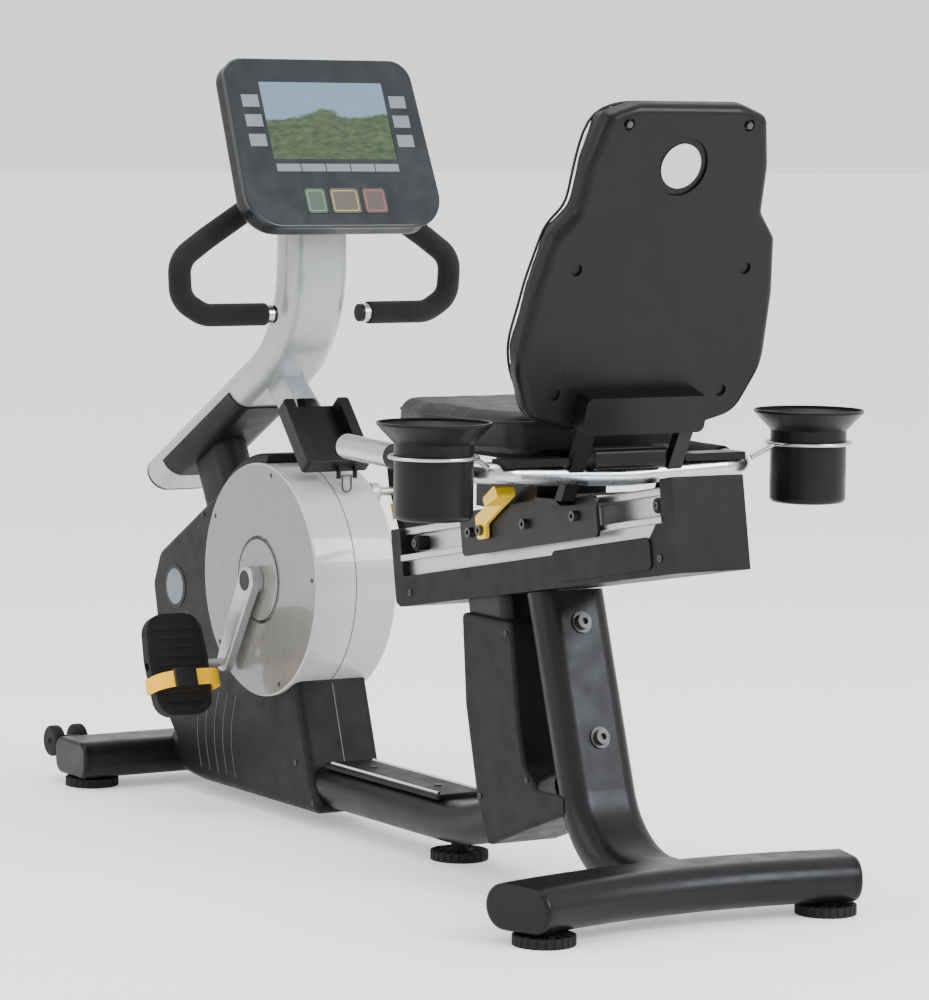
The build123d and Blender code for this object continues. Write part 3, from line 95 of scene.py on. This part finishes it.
def surface(name, colour, rough, metallic=0.0, coat=0.0, grain=900.0, depth=0.15,
            tint=0.12, wear=0.10, stretch=(1, 1, 1), cells=False, sheen=0.0, shine=0.5,
            painted_side_shade=None):
    """Procedural finish: mottled colour, worn edges, uneven gloss and a fine grain, plus, if a side
    colour is given, painted shade on faces turned to either side.
    """
    material = bpy.data.materials.new(name)
    material.use_nodes = True
    tree = material.node_tree
    shader = tree.nodes["Principled BSDF"]
    shader.inputs["Metallic"].default_value = metallic
    shader.inputs["Coat Weight"].default_value = coat
    shader.inputs["Sheen Weight"].default_value = sheen
    shader.inputs["Specular IOR Level"].default_value = shine
    place = tree.nodes.new("ShaderNodeTexCoord").outputs["Object"]
    mapping = node(tree, "ShaderNodeMapping", Scale=stretch)
    tree.links.new(place, mapping.inputs["Vector"])
    blotches = ranged(tree, noise(tree, place, 9.0), 0.0, 1.0)
    base = mixed(tree, blotches, shade(colour, 1 - tint), shade(colour, 1 + tint))
    edges = tree.nodes.new("ShaderNodeNewGeometry").outputs["Pointiness"]
    worn = ranged(tree, edges, 0.0, wear, 0.52, 0.60)
    base = mixed(tree, worn, base, shade(colour, 1.7))
    # Painted shade: faces turned to the left or right (object normal along Y) get a darker, warmer
    # colour, standing in for the lesser light they catch.
    if painted_side_shade:
        normal = tree.nodes.new("ShaderNodeTexCoord").outputs["Normal"]
        parts = tree.nodes.new("ShaderNodeSeparateXYZ")
        tree.links.new(normal, parts.inputs[0])
        facing = node(tree, "ShaderNodeMath")
        facing.operation = "ABSOLUTE"
        tree.links.new(parts.outputs[1], facing.inputs[0])
        painted_shade_mask = ranged(tree, facing.outputs[0], 0.0, 1.0, 0.85, 0.97)
        base = mixed(tree, painted_shade_mask, base, shade(painted_side_shade, 1.0))
    tree.links.new(base, shader.inputs["Base Color"])
    smears = ranged(tree, noise(tree, mapping.outputs["Vector"], 28.0), rough - 0.06, rough + 0.08)
    tree.links.new(smears, shader.inputs["Roughness"])
    if cells:
        grit = node(tree, "ShaderNodeTexVoronoi", Scale=grain)
        tree.links.new(place, grit.inputs["Vector"])
        height = grit.outputs["Distance"]
    else:
        height = noise(tree, mapping.outputs["Vector"], grain, 2.0)
    bump = node(tree, "ShaderNodeBump", Strength=depth, Distance=0.0006)
    tree.links.new(height, bump.inputs["Height"])
    tree.links.new(bump.outputs["Normal"], shader.inputs["Normal"])
    return material


def display(name):
    """A lit screen showing a plain hillside made only of noise."""
    material = surface(name, (0.006, 0.009, 0.012), 0.12, depth=0.02, shine=0.2)
    tree = material.node_tree
    shader = tree.nodes["Principled BSDF"]
    place = tree.nodes.new("ShaderNodeTexCoord").outputs["Generated"]
    split = tree.nodes.new("ShaderNodeSeparateXYZ")
    tree.links.new(place, split.inputs[0])
    ridge = node(tree, "ShaderNodeMath")
    ridge.operation = "ADD"
    tree.links.new(split.outputs[2], ridge.inputs[0])
    tree.links.new(ranged(tree, noise(tree, place, 3.0), -0.15, 0.15), ridge.inputs[1])
    sky = ranged(tree, ridge.outputs[0], 0.0, 1.0, 0.48, 0.56)
    ground = mixed(tree, ranged(tree, noise(tree, place, 14.0), 0.0, 1.0),
                   (0.05, 0.10, 0.04, 1.0), (0.16, 0.20, 0.09, 1.0))
    tree.links.new(mixed(tree, sky, ground, (0.32, 0.48, 0.62, 1.0)), shader.inputs["Emission Color"])
    shader.inputs["Emission Strength"].default_value = 1.0
    return material


def make_materials():
    black = (0.005, 0.005, 0.0055)
    charcoal = (0.008, 0.0078, 0.0075)
    silver = (0.60, 0.60, 0.60)
    return {
        "frame_black": surface("frame_black", (0.007, 0.007, 0.008), 0.33, shine=0.2),
        "frame_silver": surface("frame_silver", (0.33, 0.345, 0.355), 0.30, metallic=0.35, depth=0.03,
                                tint=0.03, coat=0.3),
        "cover_charcoal": surface("cover_charcoal", charcoal, 0.46, depth=0.35, grain=1400.0,
                                  shine=0.14),
        # cover_silver carries painted shade: its faces turned to the sides are painted darker.
        "cover_silver": surface("cover_silver", (0.44, 0.44, 0.435), 0.26, coat=0.5, depth=0.04,
                                tint=0.02, painted_side_shade=(0.15, 0.146, 0.138)),
        "cover_black": surface("cover_black", black, 0.33, depth=0.12, shine=0.18),
        "console_gloss": surface("console_gloss", (0.013, 0.016, 0.019), 0.20, coat=0.1, depth=0.02,
                                 shine=0.3),
        "screen_glass": display("screen_glass"),
        "circuit_board": surface("circuit_board", (0.04, 0.22, 0.09), 0.4),
        "membrane": surface("membrane", (0.13, 0.145, 0.16), 0.4, depth=0.05),
        "key_green": surface("key_green", (0.03, 0.05, 0.035), 0.45),
        "line_green": surface("line_green", (0.10, 0.42, 0.16), 0.4),
        "key_yellow": surface("key_yellow", (0.05, 0.045, 0.03), 0.45),
        "line_yellow": surface("line_yellow", (0.60, 0.55, 0.08), 0.4),
        "key_red": surface("key_red", (0.05, 0.032, 0.03), 0.45),
        "line_red": surface("line_red", (0.50, 0.07, 0.07), 0.4),
        "strip_grey": surface("strip_grey", (0.62, 0.62, 0.62), 0.35),
        "foam_grip": surface("foam_grip", (0.009, 0.009, 0.0095), 0.85, cells=True, grain=1100.0,
                             depth=0.6, sheen=0.05, shine=0.2),
        "rubber_black": surface("rubber_black", (0.010, 0.010, 0.010), 0.7, depth=0.4, shine=0.2),
        "rail_aluminium": surface("rail_aluminium", (0.48, 0.49, 0.50), 0.34, metallic=1.0,
                                  stretch=(1, 60, 60), depth=0.04, tint=0.05),
        "steel_zinc": surface("steel_zinc", silver, 0.32, metallic=1.0),
        "steel_dark": surface("steel_dark", (0.07, 0.07, 0.07), 0.4, metallic=0.9),
        "tube_chrome": surface("tube_chrome", (0.46, 0.47, 0.48), 0.26, metallic=1.0, depth=0.02,
                               tint=0.04),
        "crank_alloy": surface("crank_alloy", (0.42, 0.42, 0.42), 0.36, metallic=0.8, depth=0.1),
        "flywheel_iron": surface("flywheel_iron", (0.14, 0.14, 0.15), 0.42, metallic=0.9),
        "belt_rubber": surface("belt_rubber", black, 0.75),
        "glide_nylon": surface("glide_nylon", (0.62, 0.62, 0.58), 0.5),
        "strap_yellow": surface("strap_yellow", (0.88, 0.45, 0.0), 0.5, depth=0.3, shine=0.15),
        "lever_yellow": surface("lever_yellow", (0.80, 0.50, 0.02), 0.35, coat=0.2),
        "vinyl_black": surface("vinyl_black", (0.009, 0.009, 0.010), 0.46, cells=True, grain=650.0,
                               depth=0.5, shine=0.3, wear=0.05),
    }


MATERIALS = make_materials()


def paint(obj, slot_name):
    obj.data.materials.clear()
    obj.data.materials.append(MATERIALS[slot_name])


def repaint_frame():
    for name, obj in NODES.items():
        for slot in obj.material_slots:
            slot.link = "OBJECT"
            slot.material = MATERIALS[SLOTS[name]]


# ---- soft pieces --------------------------------------------------------------------
def copy_of(node_name, name):
    """New object with its own copy of a CAD node's mesh, at the same place."""
    mesh = NODES[node_name].data.copy()
    mesh.name = name
    obj = bpy.data.objects.new(name, mesh)
    bpy.context.collection.objects.link(obj)
    return obj


def apply_modifiers(obj):
    graph = bpy.context.evaluated_depsgraph_get()
    graph.update()
    mesh = bpy.data.meshes.new_from_object(obj.evaluated_get(graph))
    obj.modifiers.clear()
    obj.data = mesh


def remesh(obj, voxel, rounds):
    cut = obj.modifiers.new("remesh", "REMESH")
    cut.mode = "VOXEL"
    cut.voxel_size = voxel
    smooth = obj.modifiers.new("smooth", "SMOOTH")
    smooth.iterations = rounds
    apply_modifiers(obj)
    for face in obj.data.polygons:
        face.use_smooth = True


def shrink(obj, amount):
    """Pull every point in along its normal, to leave room for the pad to swell."""
    shift = [vertex.co - vertex.normal * amount for vertex in obj.data.vertices]
    for vertex, place in zip(obj.data.vertices, shift):
        vertex.co = place


def inflate(obj, cap):
    """Cloth pressure for twenty frames, with each point's travel limited to cap."""
    rest = [vertex.co.copy() for vertex in obj.data.vertices]
    cloth = obj.modifiers.new("cloth", "CLOTH")
    cloth.settings.use_pressure = True
    cloth.settings.uniform_pressure_force = 4.0
    cloth.settings.effector_weights.gravity = 0.0
    scene = bpy.context.scene
    for number in range(1, 21):
        scene.frame_set(number)
    apply_modifiers(obj)
    for vertex, start in zip(obj.data.vertices, rest):
        move = vertex.co - start
        if move.length > cap:
            vertex.co = start + move.normalized() * cap
    scene.frame_set(1)


def keep_inside(obj, node_name, slack):
    """Hold the pad within its CAD solid's box plus a small slack."""
    low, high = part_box(node_name)
    for vertex in obj.data.vertices:
        for axis in range(3):
            vertex.co[axis] = min(max(vertex.co[axis], low[axis] - slack), high[axis] + slack)


def pad(node_name, name, cap):
    obj = copy_of(node_name, name)
    remesh(obj, 0.006, 6)
    shrink(obj, 0.004)
    inflate(obj, cap)
    keep_inside(obj, node_name, 0.001)
    extra = obj.modifiers.new("fine", "SUBSURF")
    extra.levels = extra.render_levels = 1
    paint(obj, "vinyl_black")
    for face in obj.data.polygons:
        face.use_smooth = True
    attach(obj, "seat")
    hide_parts(node_name)
    return obj


def grip(node_name, name, body):
    obj = copy_of(node_name, name)
    remesh(obj, 0.0028, 3)
    paint(obj, "foam_grip")
    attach(obj, body)
    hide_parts(node_name)


def strap(side):
    """Rounded copy of the strap; the buckle on its crown is black."""
    name = "pedal_strap_" + side
    obj = copy_of(name, "strap_" + side)
    paint(obj, "strap_yellow")
    obj.data.materials.append(MATERIALS["cover_black"])
    joint = [entry for entry in frame["record"]["behaviour"]["joints"]
             if entry["name"] == "pedal_" + side + "_spin"][0]
    centre = Vector(joint["pos_m"])
    outward = Vector((-cos(PEDAL_TILT), 0, sin(PEDAL_TILT)))
    for face in obj.data.polygons:
        face.material_index = 1 if (face.center - centre).dot(outward) > BUCKLE_HEIGHT else 0
    soften = obj.modifiers.new("edge", "BEVEL")
    soften.width = 0.0007
    soften.segments = 2
    soften.harden_normals = True
    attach(obj, "pedal_" + side)
    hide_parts(name)


def seam(piece, name, across, up, level):
    """Piping round a pad, laid on its widest outline at one level along its thickness."""
    normal = across.cross(up)
    graph = bpy.context.evaluated_depsgraph_get()
    graph.update()
    shape = piece.evaluated_get(graph).to_mesh()
    points = [vertex.co.copy() for vertex in shape.vertices]
    middle = sum(points, Vector()) / len(points)
    depths = [(point - middle).dot(normal) for point in points]
    height = min(depths) + level * (max(depths) - min(depths))
    reach = [0.0] * SEAM_STEPS
    for point, depth in zip(points, depths):
        if abs(depth - height) < 0.006:
            side = point - middle
            a, b = side.dot(across), side.dot(up)
            index = int((atan2(b, a) + pi) / (2 * pi) * SEAM_STEPS) % SEAM_STEPS
            reach[index] = max(reach[index], (a * a + b * b) ** 0.5)
    known = [(index, length) for index, length in enumerate(reach) if length > 0.0]
    for turn in range(2):
        lengths = [length for index, length in known]
        known = [(index, (lengths[place - 1] + length + lengths[(place + 1) % len(known)]) / 3)
                 for place, (index, length) in enumerate(known)]
    line = []
    for index, length in known:
        angle = (index + 0.5) / SEAM_STEPS * 2 * pi - pi
        line.append(middle + normal * height + across * length * cos(angle)
                    + up * length * sin(angle))
    tube(name, line, 0.0020, "vinyl_black", "seat", closed=True)


# ---- small details ------------------------------------------------------------------
def tube(name, points, radius, slot_name, body, closed=False):
    """Round bead along a line of points."""
    curve = bpy.data.curves.new(name, "CURVE")
    curve.dimensions = "3D"
    curve.bevel_depth = radius
    curve.bevel_resolution = 4
    line = curve.splines.new("POLY")
    line.points.add(len(points) - 1)
    for point, place in zip(line.points, points):
        point.co = (*place, 1.0)
    line.use_cyclic_u = closed
    obj = bpy.data.objects.new(name, curve)
    bpy.context.collection.objects.link(obj)
    curve.materials.append(MATERIALS[slot_name])
    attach(obj, body)
    return obj


def hub_ring(side, name):
    """Dark gap ring round the hub disc."""
    low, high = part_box("crank_hub_discs")
    centre = (Vector(low) + Vector(high)) / 2
    face = high[1] if side > 0 else low[1]
    radius = (high[2] - low[2]) / 2
    points = [(centre[0] + radius * cos(a), face - side * 0.001, centre[2] + radius * sin(a))
              for a in [2 * pi * i / 96 for i in range(96)]]
    tube(name, points, 0.0012, "steel_dark", "crank", closed=True)


def step_strips():
    """Light-grey strip along each side of the step plate."""
    low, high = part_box("step_plate")
    for side, y in (("left", high[1] - 0.010), ("right", low[1] + 0.010)):
        points = [(low[0] + 0.012, y, high[2] - 0.0005), (high[0] - 0.012, y, high[2] - 0.0005)]
        tube("step_strip_" + side, points, 0.0030, "strip_grey", "frame")


def console_axes():
    normal = Vector((-cos(CONSOLE_TILT), 0, sin(CONSOLE_TILT)))
    return normal, Vector((sin(CONSOLE_TILT), 0, cos(CONSOLE_TILT)))


def key_outlines():
    """Coloured line round each of the three main keys."""
    normal, up = console_axes()
    for colour in ("green", "yellow", "red"):
        low, high = (Vector(corner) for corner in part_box("key_" + colour))
        centre = (low + high) / 2
        half = (high.y - low.y) / 2 - 0.004
        tall = 0.017
        face = centre + normal * 0.0024
        cut = 0.003
        corners = [(half, tall - cut), (half - cut, tall), (-half + cut, tall), (-half, tall - cut),
                   (-half, -tall + cut), (-half + cut, -tall), (half - cut, -tall), (half, -tall + cut)]
        points = [face + Vector((0, across, 0)) + up * rise for across, rise in corners]
        tube("key_line_" + colour, points, 0.0006, "line_" + colour, "key_" + colour, closed=True)


def slab(name, centre, across, up, outline, thick, slot_name, body):
    """Flat plate with rounded edges, drawn as an outline in the across and up directions."""
    out = across.cross(up).normalized()
    shape = bmesh.new()
    ring = [shape.verts.new(centre + across * a + up * b) for a, b in outline]
    bottom = shape.faces.new(ring)
    top = bmesh.ops.extrude_face_region(shape, geom=[bottom])["geom"]
    moved = [item for item in top if isinstance(item, bmesh.types.BMVert)]
    bmesh.ops.translate(shape, verts=moved, vec=out * thick)
    bmesh.ops.recalc_face_normals(shape, faces=shape.faces)
    mesh = bpy.data.meshes.new(name)
    shape.to_mesh(mesh)
    shape.free()
    obj = bpy.data.objects.new(name, mesh)
    bpy.context.collection.objects.link(obj)
    edge = obj.modifiers.new("edge", "BEVEL")
    edge.width = thick * 0.4
    edge.segments = 3
    paint(obj, slot_name)
    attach(obj, body)


def backrest_disc():
    """Plain disc in the round recess of the backrest."""
    towards = Vector((cos(BACKREST_LEAN), 0, sin(BACKREST_LEAN)))
    rise = Vector((-sin(BACKREST_LEAN), 0, cos(BACKREST_LEAN)))
    centre = Vector((-0.697, 0, 0.928)) + rise * 0.150 + towards * 0.0036
    disc = [(0.033 * cos(2 * pi * i / 72), 0.033 * sin(2 * pi * i / 72)) for i in range(72)]
    slab("backrest_disc", centre, Vector((0, -1, 0)), rise, disc, 0.0022, "tube_chrome", "seat")


def round_plate(name, place, radius, thick, slot_name, body):
    """Flat round plate facing the rider's left."""
    outline = [(radius * cos(2 * pi * i / 64), radius * sin(2 * pi * i / 64)) for i in range(64)]
    slab(name, Vector(place), Vector((-1, 0, 0)), Vector((0, 0, 1)), outline, thick, slot_name, body)


def shroud_seams():
    """Joint line between the two halves of the drum cover and of the casing."""
    low, high = (Vector(corner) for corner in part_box("drum_cover_left"))
    centre = (low + high) / 2
    radius = (high.z - low.z) / 2
    ring = [(centre.x + radius * cos(2 * pi * i / 144), 0.0, centre.z + radius * sin(2 * pi * i / 144))
            for i in range(144)]
    tube("drum_seam", ring, 0.0007, "steel_dark", "frame", closed=True)
    tube("casing_seam", [(0.2355, 0.0, 0.222), (0.1855, 0.0, 0.078)], 0.0008, "membrane", "frame")


def casing_trim():
    """Dust cap, bare round badge and thin curved lines on the left side."""
    round_plate("dust_cap_left", (CRANK[0], 0.1002, CRANK[1]), 0.0166, 0.0013, "cover_black", "crank")
    round_plate("casing_badge_rim", (0.659, 0.0655, 0.340), 0.037, 0.0014, "cover_black", "frame")
    round_plate("casing_badge", (0.659, 0.0660, 0.340), 0.030, 0.0016, "membrane", "frame")
    for number in range(5):
        start = 0.440 + 0.030 * number
        line = [(start + 0.016 * sin(pi * step / 16), 0.0661, 0.045 + 0.0085 * step)
                for step in range(17)]
        tube(f"casing_line_{number + 1}", line, 0.0004, "membrane", "frame")


# ---- studio -------------------------------------------------------------------------
def light(name, place, target, size, power, colour):
    data = bpy.data.lights.new(name, "AREA")
    data.size = size
    data.energy = power
    data.color = colour
    obj = bpy.data.objects.new(name, data)
    obj.location = place
    obj.rotation_euler = (Vector(target) - Vector(place)).to_track_quat("-Z", "Y").to_euler()
    bpy.context.collection.objects.link(obj)


def studio():
    mesh = bpy.data.meshes.new("floor")
    reach = 60.0
    mesh.from_pydata([(-reach, -reach, 0), (reach, -reach, 0), (reach, reach, 0), (-reach, reach, 0)],
                     [], [(0, 1, 2, 3)])
    floor = bpy.data.objects.new("floor", mesh)
    bpy.context.collection.objects.link(floor)
    paint_white = surface("floor_paint", (0.93, 0.93, 0.93), 0.6, depth=0.02, tint=0.01, wear=0.0)
    mesh.materials.append(paint_white)
    paint_shader = paint_white.node_tree.nodes["Principled BSDF"]
    paint_shader.inputs["Emission Color"].default_value = (1.0, 1.0, 1.0, 1.0)
    paint_shader.inputs["Emission Strength"].default_value = 0.35
    world = bpy.data.worlds.new("studio")
    bpy.context.scene.world = world
    world.use_nodes = True
    world.node_tree.nodes["Background"].inputs["Color"].default_value = (1.0, 1.0, 1.0, 1.0)
    world.node_tree.nodes["Background"].inputs["Strength"].default_value = 1.35
    middle = (0, 0, 0.5)
    light("key", (-4.5, -2.2, 3.2), middle, 2.2, 260, (0.90, 0.95, 1.0))
    light("fill", (0.5, 4.5, 2.6), middle, 3.0, 90, (1.0, 0.95, 0.88))
    light("top", (0.0, 0.0, 4.5), middle, 3.0, 110, (1.0, 1.0, 1.0))


def camera():
    azimuth, elevation, roll = radians(238.662), radians(5.331), radians(0.649)
    back = Vector((sin(azimuth) * cos(elevation), -cos(azimuth) * cos(elevation), sin(elevation)))
    right = (-back).cross(Vector((0, 0, 1))).normalized()
    up = right.cross(-back)
    x_axis = right * cos(roll) + up * sin(roll)
    y_axis = -right * sin(roll) + up * cos(roll)
    data = bpy.data.cameras.new("camera")
    data.lens = 150.475
    data.sensor_width = 36.0
    obj = bpy.data.objects.new("camera", data)
    turn = Matrix((x_axis, y_axis, back)).transposed().to_4x4()
    obj.matrix_world = Matrix.Translation((-5.58808, 3.30022, 1.14652)) @ turn
    bpy.context.collection.objects.link(obj)
    bpy.context.scene.camera = obj


repaint_frame()
cushion = pad("seat_cushion", "seat_cushion_pad", 0.010)
seam(cushion, "cushion_piping", Vector((1, 0, 0)), Vector((0, 1, 0)), 0.75)
cushion = pad("backrest_pad", "backrest_cushion", 0.010)
seam(cushion, "backrest_piping", Vector((0, 1, 0)),
     Vector((-sin(BACKREST_LEAN), 0, cos(BACKREST_LEAN))), 0.75)
grip("loop_handle_grips", "loop_foam", "frame")
grip("handle_grips", "side_foam", "seat")
strap("left")
strap("right")
hub_ring(1, "hub_gap_left")
hub_ring(-1, "hub_gap_right")
step_strips()
key_outlines()
backrest_disc()
shroud_seams()
casing_trim()
studio()
camera()
